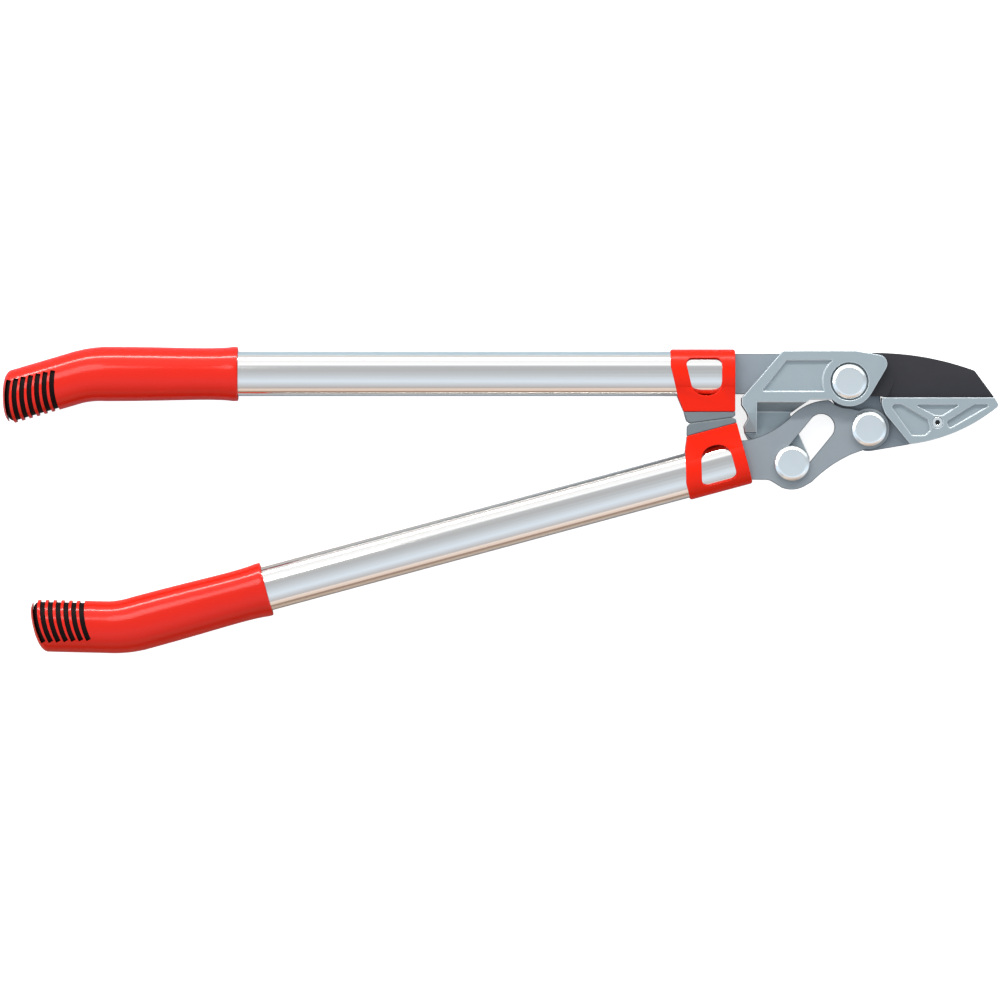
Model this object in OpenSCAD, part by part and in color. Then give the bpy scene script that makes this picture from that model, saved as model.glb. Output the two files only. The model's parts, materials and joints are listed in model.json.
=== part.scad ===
// Two-handed anvil lopper with a slotted power lever, lying flat and closed.
// X runs along the upper handle towards the blade, Y across the handles, Z up.
// The origin is on the main pivot's axis, in the plane that the tool rests on.

/* [Handles] */
// Angle between the two closed handles, degrees
handle_angle = 15.1; // [12:0.1:18]
// Distance from the main pivot forward to where the handle axes cross
axes_cross_x = 140.2; // [130:0.5:160]
// Height of the upper handle's axis above the main pivot
handle_axis_y = 5.1; // [3:0.1:7]
// Length of each tube
tube_len = 408; // [300:1:500]
// Tube width across the handle
tube_h = 29; // [26:0.5:34]
// Tube thickness, front to back
tube_t = 19; // [17:0.5:22]
// Tube wall
tube_wall = 1.5; // [1.2:0.1:2.2]
// Distance from the main pivot back to the tubes' front ends
tube_setback = 76; // [74:0.5:90]

/* [Grips] */
// Length of tube that a grip covers
grip_cover = 85; // [60:1:110]
// Straight length of a grip, from its front lip to the bend
grip_straight = 87; // [87:1:120]
// Grip width across the handle at its fullest
grip_h = 35.6; // [34:0.1:42]
// Grip thickness, front to back
grip_t = 27; // [26:0.5:32]
// How much narrower the waist behind the front lip is
grip_waist = 1.7; // [0:0.1:3]
// Angle of the bent end, degrees
grip_bend = 16.4; // [8:0.2:24]
// Radius of the bend on the grip's axis
grip_bend_r = 70; // [60:1:120]
// Straight length behind the bend, up to the domed butt
grip_tail = 41.5; // [36:0.5:60]
// Length of the domed butt
butt_len = 7.5; // [6:0.5:12]
// How far the butt leans back from square to the bent end, degrees
butt_lean = 14; // [0:1:18]
// Wall of the red shell over the black core
grip_wall = 1.4; // [1:0.1:3]
// Number of vent slots in the bent end
vent_count = 7; // [3:1:8]
// Distance from one vent slot to the next
vent_pitch = 5.1; // [4.4:0.1:5.4]
// Width of a vent slot
vent_w = 3.3; // [2:0.1:4]
// Distance from the axis to the outer ends of the vent slots
vent_reach = 10.6; // [6:0.1:12]

/* [Collars] */
// Length of a collar along its tube, on the outer side
collar_len = 42.2; // [40:0.1:50]
// Collar wall over the tube
collar_wall = 1.6; // [1.2:0.1:2.4]
// Distance from the tube axis to the collar's inner side, where the pad starts
collar_drop = 24.7; // [22:0.1:26]
// Collar thickness at the nose that holds the pad, front to back
nose_t = 17; // [12:0.5:20]
// Gap left between the two closed stop pads
pad_gap = 0.2; // [0.1:0.05:0.6]

/* [Pivots] */
// Lever pivot, seen from the main pivot
lever_pivot = [13.2, -30.8];
// Drive pin, seen from the main pivot, with the tool closed
drive_pin = [-37.2, -53.3];
// Diameter of the pin heads
head_d = 23; // [21:0.5:24]
// Thickness of the pin heads
head_t = 4.5; // [3.5:0.1:5.5]
// Width of the bevel round a pin head
head_bevel = 2.2; // [1:0.1:3]
// Diameter of the two pivot bolts
bolt_d = 12; // [10:0.5:13]
// Diameter of the drive pin's shank in the slot
drive_d = 11.5; // [10:0.5:12]
// Wall of the bushes
bush_wall = 2; // [1.5:0.1:2.5]
// Radial clearance of a running bush
run_gap = 0.05; // [0.02:0.01:0.1]
// Gap between sliding faces
face_gap = 0.15; // [0.1:0.05:0.3]
// Nut size across flats
nut_af = 19; // [17:0.5:22]
// Nut height
nut_h = 6.5; // [5:0.1:8]
// Washer diameter
washer_d = 24; // [22:0.5:28]
// Washer thickness
washer_t = 2; // [1.5:0.1:2.5]

/* [Plates] */
// Thickness of the anvil arm
arm_t = 5; // [4:0.1:6]
// Thickness of the slotted lever plate
lever_t = 4.5; // [4:0.1:5]
// Thickness of the blade
blade_t = 5; // [4.6:0.1:6]
// Width of both plates where they leave the collars
neck_h = 26.4; // [24:0.1:28]
// Width of the tangs inside the tubes
tang_h = 19; // [16:0.5:20]
// Length of the tangs inside the tubes
tang_len = 52; // [45:1:70]
// Diameter of the cross pins that hold the tangs
tang_pin_d = 5; // [4:0.5:6]
// Width of the slot in the lever plate
slot_w = 17.2; // [16.8:0.1:18]
// Travel of the drive pin's centre along the slot
slot_travel = 30.5; // [28:0.1:32]
// Radius of the lever plate round its pivot
lever_lobe_r = 13.6; // [12:0.1:14.5]

/* [Head] */
// Height of the blade carrier's front above the handles' middle plane
carrier_rise = 12; // [11:0.1:13]
// Depth of the recess in the carrier's cheek
carrier_recess = 2; // [1:0.1:3]
// Radius of the carrier round the main pivot
carrier_r = 16.3; // [15:0.1:17]
// Radial gap round the main pivot's head in the carrier
head_gap = 0.9; // [0.5:0.1:1.2]
// Length from the main pivot to the blade's tip
blade_reach = 95; // [80:0.5:110]
// Distance from the main pivot down to the anvil's top face
cut_y = 10.5; // [9:0.1:12]
// Width of the ground face above the cutting edge
grind_w = 13; // [6:0.5:16]
// Height of the anvil's front above the handles' middle plane
anvil_rise = 9; // [7:0.1:11]
// Depth of the recesses in the anvil
anvil_recess = 2; // [1:0.1:3]
// Height of the anvil's lip over the arm
anvil_lip = 3.4; // [2:0.1:5]
// Diameter of the anvil screw
anvil_screw_d = 5; // [4:0.5:6]

/* [Hidden] */
$fn = 64;
eps = 0.01;
ring_n = 32;
main_pivot = [0, 0];

// Levels, as heights over the plane that the tool rests on
stack_h = nut_h + washer_t + arm_t;
mid_z = max(stack_h, grip_t / 2);
arm_z = mid_z - arm_t;
lever_z = mid_z + face_gap;
blade_z = mid_z + face_gap;
cheek_z = blade_z + blade_t;
cheek_top = mid_z + carrier_rise;
main_head_z = cheek_top + 1 - head_t;
seat_z = main_head_z - face_gap;
lever_head_z = lever_z + lever_t + face_gap;
anvil_top = mid_z + anvil_rise;

// Places along the upper handle
tube_x = -tube_setback;
tube_end_x = tube_x - tube_len;
grip_x = tube_end_x + grip_cover;
collar_reach = 1.7;
collar_x = tube_x + collar_reach;
tang_pin_x = [tube_x - 3.3, tube_x - tang_len / 2 - 9];
pin_sunk = 0.2;
pin_length = tube_t - 2 * pin_sunk;
neck_t = max(arm_t, lever_t + face_gap);
window_in = 8.7;
hub_r = bolt_d / 2 + run_gap + bush_wall;

// ---- Curves ----

function arc(c, r, a0, a1, n = 12) = [for (i = [0:n]) let (a = a0 + (a1 - a0) * i / n)
    [c[0] + r * cos(a), c[1] + r * sin(a)]];
function oval(h, t, n = 48) = [for (i = [0:n - 1]) let (a = 360 * i / n)
    [t / 2 * sign(cos(a)) * pow(abs(cos(a)), 0.86), h / 2 * sign(sin(a)) * pow(abs(sin(a)), 0.92)]];
function unit(v) = v / norm(v);
function fillet(p, q, s, r, n = 6) =
    let (u = unit(p - q), v = unit(s - q), half = acos(u * v) / 2,
         reach = min(r / tan(half), norm(p - q) * 0.49, norm(s - q) * 0.49),
         rad = reach * tan(half), c = q + unit(u + v) * rad / sin(half),
         t0 = q + u * reach - c, t1 = q + v * reach - c,
         a0 = atan2(t0[1], t0[0]), a1 = atan2(t1[1], t1[0]), turn = a1 - a0,
         sweep = turn > 180 ? turn - 360 : turn < -180 ? turn + 360 : turn)
    [for (i = [0:n]) c + rad * [cos(a0 + sweep * i / n), sin(a0 + sweep * i / n)]];
function xy(p) = [p[0], p[1]];
function rounded(c) = [for (i = [0:len(c) - 1])
    let (p = c[(i + len(c) - 1) % len(c)], q = c[i], s = c[(i + 1) % len(c)])
    each (len(q) > 2 && q[2] > 0 ? fillet(xy(p), xy(q), xy(s), q[2]) : [xy(q)])];
function tangent_angle(q, r, side) = atan2(q[1], q[0]) + side * acos(r / norm(q));
function circle_through(a, b, c) =
    let (d = 2 * (a[0] * (b[1] - c[1]) + b[0] * (c[1] - a[1]) + c[0] * (a[1] - b[1])))
    [((a * a) * (b[1] - c[1]) + (b * b) * (c[1] - a[1]) + (c * c) * (a[1] - b[1])) / d,
     ((a * a) * (c[0] - b[0]) + (b * b) * (a[0] - c[0]) + (c * c) * (b[0] - a[0])) / d];
function bow(a, b, c, n = 12) =
    let (m = circle_through(a, b, c), r = norm(a - m))
    arc(m, r, atan2(a[1] - m[1], a[0] - m[0]), atan2(c[1] - m[1], c[0] - m[0]), n);

// Turns a place on the upper handle into the same place on the lower one
function to_lower(p) =
    let (x = p[0] - axes_cross_x, y = handle_axis_y - p[1])
    [axes_cross_x + x * cos(handle_angle) - y * sin(handle_angle),
     handle_axis_y + x * sin(handle_angle) + y * cos(handle_angle)];

module on_lower()
    translate([axes_cross_x, handle_axis_y, 0]) rotate([0, 0, handle_angle])
        mirror([0, 1, 0]) translate([-axes_cross_x, -handle_axis_y, 0]) children();

// A plate between two heights
module plate(z0, z1)
    translate([0, 0, z0]) linear_extrude(z1 - z0) children();

// A bar of an oval or other section, along X and centred on the handle's axis
module along_x(x0, x1)
    translate([x0, handle_axis_y, mid_z]) rotate([90, 0, 90])
        linear_extrude(x1 - x0) rotate(-90) children();

// A bore or shank at a pivot, between two heights
module round_at(p, d, z0, z1)
    translate([p[0], p[1], z0]) cylinder(d = d, h = z1 - z0);

// ---- Handle pieces, drawn as the upper handle's ----

module tube() {
    difference() {
        along_x(tube_end_x, tube_x) polygon(oval(tube_h, tube_t));
        along_x(tube_end_x - 1, tube_x + 1)
            polygon(oval(tube_h - 2 * tube_wall, tube_t - 2 * tube_wall));
        tang_pins(tube_t + 2);
    }
}

// The cross pins that hold a tang, or the holes for them, of the given length
module tang_pins(length)
    for (x = tang_pin_x)
        translate([x, handle_axis_y, mid_z - length / 2]) cylinder(d = tang_pin_d, h = length);

module tang_insert(z0, z1) {
    difference() {
        along_x(tube_x - tang_len, tube_x)
            polygon(oval(tube_h - 2 * tube_wall, tube_t - 2 * tube_wall));
        translate([tube_x - tang_len - 1, handle_axis_y - tang_h / 2, z0])
            cube([tang_len + 2, tang_h, z1 - z0]);
        tang_pins(tube_t);
    }
}

// The bisector of the two handles: the closed stop pads meet on it
function meet_y(x) = handle_axis_y - (axes_cross_x - x) * tan(handle_angle / 2);
collar_top = handle_axis_y + tube_h / 2 + collar_wall;
collar_low = handle_axis_y - collar_drop;
collar_back = collar_x - collar_len;
nose_back = collar_back + 8.7;
window_top = collar_top - 5.9;
window_low = handle_axis_y - 14.2;

module collar_outline()
    polygon(rounded([[collar_back, collar_top, 1.5], [collar_x, collar_top, 1.5],
        [collar_x, collar_low], [nose_back, collar_low], [collar_back + 4.8, handle_axis_y - 15.2, 8],
        [collar_back, collar_top - 11, 6]]));

module pad_outline()
    polygon(rounded([[collar_x, collar_low], [collar_x, collar_low - 2.6, 1],
        [collar_x - 1.8, meet_y(collar_x - 1.8) + pad_gap / 2, 1],
        [nose_back + 4, meet_y(nose_back + 4) + pad_gap / 2, 2],
        [nose_back + 1.8, meet_y(nose_back + 2) + 1.9, 1], [nose_back, collar_low]]));

module collar_window()
    polygon(rounded([[collar_back + 9.4, window_top, 3.8], [collar_x - window_in, window_top, 4.4],
        [collar_x - window_in, window_low, 12], [collar_back + 15.2, window_low, 9]]));

// Section of a collar: an oval sleeve with a flat nose towards the other handle
module collar_section() {
    polygon(oval(tube_h + 2 * collar_wall, tube_t + 2 * collar_wall));
    polygon([[-tube_t / 2 - collar_wall + 0.6, 3], [-nose_t / 2, -collar_drop],
        [nose_t / 2, -collar_drop], [tube_t / 2 + collar_wall - 0.6, 3]]);
}

module collar() {
    difference() {
        intersection() {
            plate(mid_z - tube_t, mid_z + tube_t) collar_outline();
            along_x(collar_back - 1, collar_x + 1) collar_section();
        }
        along_x(collar_back - 2, tube_x) polygon(oval(tube_h, tube_t));
        translate([tube_x - 1, handle_axis_y - neck_h / 2 - face_gap, mid_z - neck_t])
            cube([4, neck_h + 2 * face_gap, 2 * neck_t]);
        plate(mid_z - tube_t, mid_z + tube_t) collar_window();
    }
}

module pad()
    plate(mid_z - nose_t / 2 + 0.4, mid_z + nose_t / 2 - 0.4) pad_outline();

// ---- Grips ----

bend_arc = grip_bend_r * grip_bend * PI / 180;
dome_x = grip_straight + bend_arc + grip_tail;
grip_len = dome_x + butt_len;

// A grip's axis at distance s from its front lip: place and heading
function grip_at(s) =
    s <= grip_straight ? [[grip_x - s, handle_axis_y], 0]
    : let (a = min((s - grip_straight) / grip_bend_r * 180 / PI, grip_bend),
           rest = max(s - grip_straight - bend_arc, 0))
      [[grip_x - grip_straight - grip_bend_r * sin(a) - rest * cos(a),
        handle_axis_y - grip_bend_r * (1 - cos(a)) - rest * sin(a)], a];
function grip_fullness(s) = s < 3 ? 0 : s < grip_straight
    ? grip_waist * pow(sin(180 * pow((s - 3) / (grip_straight - 3), 0.45)), 2)
    : grip_waist * min((s - grip_straight) / bend_arc, 1);
// Share of its full size that a grip still has in the domed butt
function dome(s, end) = s <= dome_x ? 1
    : pow(max(1 - pow((s - dome_x) / (end - dome_x), 2.4), 0.02), 1 / 2.4);

// The ring of points of a grip's skin at distance s, inset from its surface
function grip_ring(s, inset, end) =
    let (at = grip_at(s), full = dome(s, end),
         lean = butt_lean * max(s - grip_straight - bend_arc, 0) / (grip_tail + butt_len), a = at[1] - lean,
         h = ((grip_h - grip_fullness(s)) * full - 2 * inset) / cos(lean),
         t = (grip_t - grip_fullness(s) / 2) * full - 2 * inset)
    [for (p = oval(h, t, ring_n))
        [at[0][0] - p[1] * sin(a), at[0][1] + p[1] * cos(a), mid_z + p[0]]];

// A closed skin through rings at the given distances
module grip_body(stations, inset, end) {
    n = ring_n;
    last = len(stations) - 1;
    polyhedron(
        points = [for (s = stations) each grip_ring(s, inset, end)],
        faces = concat([[for (j = [0:n - 1]) j]],
            [for (i = [0:last - 1], j = [0:n - 1]) let (a = i * n + j, b = i * n + (j + 1) % n)
                each [[a, a + n, b], [b, a + n, b + n]]],
            [[for (j = [n - 1:-1:0]) last * n + j]]));
}

function dome_stations(end) = [for (i = [1:6]) dome_x + (end - dome_x) * sin(15 * i)];
shell_stations = concat([0, 3], [for (i = [1:6]) 3 + (grip_straight - 3) * i / 6],
    [for (i = [1:5]) grip_straight + bend_arc * i / 5],
    [for (i = [1:3]) grip_straight + bend_arc + grip_tail * i / 3], dome_stations(grip_len));
core_end = grip_len - grip_wall;
core_stations = concat([grip_cover, grip_straight], [for (i = [1:5]) grip_straight + bend_arc * i / 5],
    [for (i = [1:3]) grip_straight + bend_arc + grip_tail * i / 3], dome_stations(core_end));

module grip_core() grip_body(core_stations, grip_wall, core_end);

// Vent slots: arcs across the inner side of the bent end, parallel to the butt
vent_r = 50;
vent_low_y = -14;
first_vent = 3.6;
vent_taper = 2.5;
module vents() {
    mid = [sqrt(vent_r * vent_r - vent_low_y * vent_low_y), vent_low_y];
    for (i = [0:vent_count - 1]) {
        at = grip_at(grip_len - first_vent - i * vent_pitch);
        top = 180 - asin((vent_reach - vent_taper * i / vent_count - vent_low_y) / vent_r);
        low = 180 + asin((grip_h / 2 + 4 + vent_low_y) / vent_r);
        translate([at[0][0], at[0][1], 0]) rotate([0, 0, at[1]])
            plate(mid_z - grip_t, mid_z + grip_t)
                polygon(concat(arc(mid, vent_r + vent_w / 2, top, low, 8),
                    arc(mid, vent_r - vent_w / 2, low, top, 8)));
    }
}

module grip() {
    difference() {
        grip_body(shell_stations, 0, grip_len);
        along_x(grip_x - grip_cover, grip_x + 1) polygon(oval(tube_h, tube_t));
        grip_core();
        vents();
    }
}

// ---- Pins, nuts and washers ----

module pin_head(p, z0) {
    translate([p[0], p[1], z0]) {
        cylinder(d = head_d, h = head_t - head_bevel * 0.7);
        translate([0, 0, head_t - head_bevel * 0.7])
            cylinder(d1 = head_d, d2 = head_d - 2 * head_bevel, h = head_bevel * 0.7);
    }
}

module nut_at(p, z0, af, h, bore)
    translate([p[0], p[1], z0]) difference() {
        cylinder(d = af / cos(30), h = h, $fn = 6);
        translate([0, 0, -1]) cylinder(d = bore, h = h + 2, $fn = 64);
    }

module washer_at(p, z0, d, h, bore)
    translate([p[0], p[1], z0]) difference() {
        cylinder(d = d, h = h);
        translate([0, 0, -1]) cylinder(d = bore, h = h + 2);
    }

module main_pivot_bolt() {
    pin_head(main_pivot, main_head_z);
    round_at(main_pivot, bolt_d, arm_z - washer_t - nut_h, main_head_z + eps);
}

module lever_pivot_bolt() {
    pin_head(lever_pivot, lever_head_z);
    round_at(lever_pivot, bolt_d, arm_z - washer_t - nut_h, lever_head_z + eps);
}

module pivot_washers()
    for (p = [main_pivot, lever_pivot]) washer_at(p, arm_z - washer_t, washer_d, washer_t, bolt_d);

module pivot_nuts()
    for (p = [main_pivot, lever_pivot]) nut_at(p, arm_z - washer_t - nut_h, nut_af, nut_h, bolt_d);

module bush(p, z0, z1)
    washer_at(p, z0, 2 * hub_r, z1 - z0, bolt_d + 2 * run_gap);

// ---- Anvil arm and anvil ----

arm_hub_r = 15.5;
arm_lobe_r = 18.5;
arm_step_y = -cut_y - anvil_lip;
arm_front_x = 20.9;

module anvil_arm_outline() {
    polygon(rounded(concat(
        [[tube_x, handle_axis_y + tang_h / 2], [tube_x, handle_axis_y + neck_h / 2],
         [-8, handle_axis_y + neck_h / 2, 6]],
        arc(main_pivot, arm_hub_r, 62, -24, 10),
        [[arm_front_x, -cut_y + 2.4], [arm_front_x, arm_step_y], [64, arm_step_y, 1], [66, -27, 6],
         [56, -37.2, 3], [38.5, -41.2, 20]],
        arc(lever_pivot, arm_lobe_r - 4, -80, -100, 4),
        arc(lever_pivot, arm_lobe_r, -150, -205, 6),
        [[-13, handle_axis_y - neck_h / 2, 8], [tube_x, handle_axis_y - neck_h / 2],
         [tube_x, handle_axis_y - tang_h / 2],
         [tube_x - tang_len, handle_axis_y - tang_h / 2, 2],
         [tube_x - tang_len, handle_axis_y + tang_h / 2, 2]])));
}

module anvil_arm() {
    difference() {
        plate(arm_z, mid_z) anvil_arm_outline();
        for (p = [main_pivot, lever_pivot]) round_at(p, bolt_d, arm_z - 1, mid_z + 1);
        round_at(anvil_hole, anvil_screw_d, arm_z - 1, mid_z + 1);
        tang_pins(tube_t);
    }
}

anvil_hole = [57.6, -26.7];
anvil_boss_r = 4.6;
anvil_tip_x = blade_reach + 2.5;
anvil_under = bow([40.3, -40.9], [70.5, -32.6], [anvil_tip_x - 0.6, -16.6], 14);

module anvil_outline()
    polygon(rounded(concat([[21.5, -cut_y, 0.6], [21.2, -cut_y - 4.5, 4], [23.6, -21.2, 6],
        [39.4, -40.4, 1.5]], anvil_under, [[anvil_tip_x, -15, 1.4], [blade_reach - 0.2, -cut_y, 0.8]])));

// The three recesses, which leave a triangle of ribs that meet at the boss
module anvil_recesses() {
    polygon(rounded([[26, -14.7, 3.2], [34, -14.7, 2.4], [51.3, -24.8, 1], [53.4, -31.9, 2.5],
        [49.4, -35.3, 1.5], [40.8, -35.3, 1.5]]));
    polygon(rounded([[42.6, -15.1, 0.6], [72.4, -15.1, 0.6], [60.8, -22.3, 1.5], [55.5, -22, 2]]));
    polygon(rounded([[63.4, -25.9, 1.6], [81.6, -14.8, 1.2], [93, -14.9, 0.9], [65.2, -31, 1.6]]));
}

module anvil() {
    difference() {
        union() {
            plate(mid_z, anvil_top) anvil_outline();
            plate(arm_z, mid_z) intersection() {
                anvil_outline();
                translate([0, arm_step_y + face_gap]) square([2 * blade_reach, anvil_lip]);
            }
        }
        plate(anvil_top - anvil_recess, anvil_top + 1) difference() {
            anvil_recesses();
            translate(anvil_hole) circle(r = anvil_boss_r);
        }
        round_at(anvil_hole, anvil_screw_d, mid_z - 1, anvil_top + 1);
        round_at(anvil_hole, screw_head_d + 0.4, anvil_top - screw_head_t, anvil_top + 1);
    }
}

screw_head_d = 7;
screw_head_t = 2.6;
screw_sunk = 0.3;
socket_af = 3.4;
anvil_nut_h = 4;
module anvil_screw() {
    difference() {
        union() {
            round_at(anvil_hole, screw_head_d, anvil_top - screw_head_t, anvil_top - screw_sunk);
            round_at(anvil_hole, anvil_screw_d, arm_z - anvil_nut_h - 1, anvil_top - screw_head_t + eps);
        }
        translate([anvil_hole[0], anvil_hole[1], anvil_top - screw_head_t])
            cylinder(d = socket_af, h = screw_head_t + 1, $fn = 6);
    }
}

module anvil_nut() nut_at(anvil_hole, arm_z - anvil_nut_h, 8, anvil_nut_h, anvil_screw_d);

// ---- Lever plate ----

slot_dir = unit([-17.6, -29.4] - drive_pin);
slot_end = drive_pin + slot_dir * slot_travel;

lever_dip = bow([-66, -38.2], [-51, -32.7], [-38.8, -23.9], 8);
lever_crown = bow([-38.8, -23.9], [-27.6, -15.4], [-13.4, -12], 8);
lever_belly = bow([-24.2, -65.6], [-12.4, -55.6], [1.5, -47.6], 8);

function lever_tang(side) = [for (x = [tube_x - tang_len, tube_x])
    to_lower([x, handle_axis_y + side * tang_h / 2])];

module lever_outline()
    polygon(concat(lever_tang(-1), [to_lower([tube_x, handle_axis_y - neck_h / 2])], lever_dip, lever_crown,
        arc(main_pivot, carrier_r + 1.1, -134, -88, 8),
        arc(lever_pivot, lever_lobe_r, 118, -100, 24),
        [for (i = [len(lever_belly) - 1:-1:0]) lever_belly[i]],
        arc(drive_pin, 17.2, -56, -112, 8),
        fillet([-44, -69], [-52, -64.1], [-60, -64.2], 7),
        [to_lower([tube_x, handle_axis_y + neck_h / 2])],
        [lever_tang(1)[1], lever_tang(1)[0]]));

module slot_outline() {
    side = slot_w / 2 * [-slot_dir[1], slot_dir[0]];
    polygon([drive_pin + side, slot_end + side, slot_end - side, drive_pin - side]);
    for (p = [drive_pin, slot_end]) translate(p) circle(d = slot_w);
}

module lever_plate() {
    difference() {
        plate(lever_z, lever_z + lever_t) lever_outline();
        plate(lever_z - 1, lever_z + lever_t + 1) slot_outline();
        round_at(lever_pivot, 2 * hub_r, lever_z - 1, lever_z + lever_t + 1);
        on_lower() tang_pins(tube_t);
    }
}

// ---- Blade and its carrier ----

spine = bow([15, 18.8], [54, 15.1], [blade_reach - 13, 7.2], 12);

module blade_outline() {
    polygon(rounded(concat([[-44, 13.2, 3], [-2, 13.2, 6], [7, 18.9, 6]], spine,
        [[blade_reach, -cut_y + 0.4], [blade_reach - 0.8, -cut_y + face_gap], [24, -cut_y + face_gap, 2],
         [21, -9.6, 2]],
        arc(main_pivot, 15.4, -38.5, -140, 14),
        [[-18, -9.3, 4], [-44, -9.3, 3]])));
}

blade_screw_at = [[-24, 2], [-38, 2]];
blade_screw_d = 5;
blade_screw_sunk = 0.3;

module grind(top, face)
    intersection() {
        plate(blade_z - 1, blade_z + blade_t + 1)
            polygon([[30.9, 2.8], [24, -12.5], [2 * blade_reach, -12.5], [2 * blade_reach, 20], [38, 20]]);
        translate([20, 0, 0]) rotate([90, 0, 90]) linear_extrude(2 * blade_reach)
            polygon([[-cut_y - 1, face], [grind_w - cut_y, face], [-cut_y - 1, top]]);
    }

module blade() {
    difference() {
        plate(blade_z, blade_z + blade_t) blade_outline();
        grind(blade_z + blade_t * 0.55, blade_z + blade_t + eps);
        grind(blade_z + blade_t * 0.45, blade_z - eps);
        round_at(main_pivot, 2 * hub_r, blade_z - 1, blade_z + blade_t + 1);
        for (p = blade_screw_at) {
            round_at(p, blade_screw_d, blade_z - 1, cheek_z + 1);
            translate([p[0], p[1], blade_z - eps])
                cylinder(d1 = 2 * blade_screw_d, d2 = blade_screw_d, h = blade_screw_d / 2);
        }
    }
}

module blade_screws()
    for (p = blade_screw_at) {
        round_at(p, blade_screw_d, blade_z + blade_screw_sunk, cheek_z + 4);
        translate([p[0], p[1], blade_z + blade_screw_sunk])
            cylinder(d1 = 2 * blade_screw_d - 0.8, d2 = blade_screw_d,
                h = blade_screw_d / 2 - blade_screw_sunk);
    }

web_y = -11.8;
front_y = -13.5;
floor_y = -20.6;
arm_clear_y = -10.4;
wall_end_x = -25.4;
lever_clear_y = -10;
rib_x = -60.3;
rib_end_y = -33.6;
shoulder = [28.3, 15.9];
shoulder_angle = tangent_angle(shoulder, carrier_r, -1);

// Outline of the whole carrier: cheek, tail and the lower arm round the drive pin
module carrier_outline()
    polygon(rounded(concat([[-43.3, 20, 2.2], [3.7, 20, 14], [shoulder[0], shoulder[1], 6]],
        arc(main_pivot, carrier_r, shoulder_angle, -180 + asin(-web_y / carrier_r), 14),
        [[-25.6, web_y, 0.8], [-38.3, -21, 0.8]],
        arc(drive_pin, 12.4, 20, -150, 14),
        [[-65.9, -37.6], [-67.9, -33.6, 1.5], [-68.6, -29.3, 1.5], [-65.7, -23.8, 2], [-66.9, -20.2, 1.5],
         [-70.1, -15.3, 1], [-70.1, -10.8, 1.5]])));

// The carrier's cheek: all that is above the foot, and the round boss at the main pivot
module cheek_area()
    intersection() {
        carrier_outline();
        union() {
            translate([-80, front_y]) square([120, 40]);
            translate([wall_end_x, -40]) square([80, 80]);
        }
    }

module below(y)
    intersection() {
        carrier_outline();
        translate([-80, y - 80]) square([80 + wall_end_x, 80]);
    }

// The carrier's outline under a YZ profile that runs from x0 to x1
module shaped(x0, x1, profile)
    intersection() {
        plate(arm_z, cheek_top) carrier_outline();
        translate([x0, 0, 0]) rotate([90, 0, 90]) linear_extrude(x1 - x0) polygon(profile);
    }

recess_top_y = 13.9;
recess_low_y = -6.5;
recess_r = carrier_r + 1.3;
recess_arc = arc(main_pivot, recess_r, 180 - asin(recess_top_y / recess_r),
    180 + asin(-recess_low_y / recess_r), 10);

module cheek_recess()
    polygon(rounded(concat([[-41.2, recess_top_y, 0.8]],
        [for (i = [0:10]) i % 10 == 0 ? [recess_arc[i][0], recess_arc[i][1], 0.5] : recess_arc[i]],
        [[-57.3, recess_low_y, 0.8]])));

module tang_pocket()
    polygon(rounded([[-44.3, 13.5, 3], [-1.9, 13.5, 6], [7.5, 19.6, 6], [60, 19.6], [60, -40],
        [wall_end_x, -40], [wall_end_x, -12], [wall_end_x + 2.4, -9.6, 1], [-44.3, -9.6, 3]]));

module blade_carrier() {
    difference() {
        union() {
            plate(cheek_z, cheek_top) cheek_area();
            // rim that meets the blade's tang
            plate(blade_z, cheek_z) difference() {
                cheek_area();
                tang_pocket();
            }
            // sloping wall from the cheek down to the floor
            shaped(-72, wall_end_x, [[arm_clear_y, arm_z], [arm_clear_y, cheek_top - 1],
                [front_y - 0.2, cheek_top - 1], [floor_y + 0.6, mid_z - 1], [floor_y + 0.6, arm_z]]);
            // rib down the tail, its height falling to the floor
            shaped(-72, rib_x, [[front_y + 1, arm_z], [front_y + 1, cheek_top], [floor_y, cheek_top],
                [rib_end_y + 0.6, cheek_top - 7], [rib_end_y, mid_z - 1], [rib_end_y, arm_z]]);
            plate(arm_z, mid_z - face_gap) below(arm_clear_y);
        }
        plate(cheek_top - carrier_recess, cheek_top + 1) cheek_recess();
        // room for the lever plate's crown under the cheek
        plate(blade_z, lever_z + lever_t + face_gap)
            translate([wall_end_x, -40]) square([-wall_end_x - hub_r, 40 + lever_clear_y]);
        round_at(main_pivot, head_d + 2 * head_gap, seat_z, cheek_top + 1);
        round_at(main_pivot, 2 * hub_r, blade_z - 1, cheek_top);
        round_at(drive_pin, drive_neck_d, arm_z - 1, mid_z + 1);
        for (p = blade_screw_at) round_at(p, blade_screw_d, cheek_z - 1, cheek_z + 4);
    }
}

drive_neck_d = 8;
drive_nut_af = 13;
drive_nut_h = 4.5;
drive_washer_t = 1.6;

module drive_pin() {
    pin_head(drive_pin, lever_head_z);
    round_at(drive_pin, drive_d, mid_z - face_gap, lever_head_z + eps);
    round_at(drive_pin, drive_neck_d, arm_z - drive_washer_t - drive_nut_h - 1, mid_z);
}

module drive_pin_washer() washer_at(drive_pin, arm_z - drive_washer_t, 16, drive_washer_t, drive_neck_d);

module drive_pin_nut()
    nut_at(drive_pin, arm_z - drive_washer_t - drive_nut_h, drive_nut_af, drive_nut_h, drive_neck_d);

// ---- Finishes ----

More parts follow.
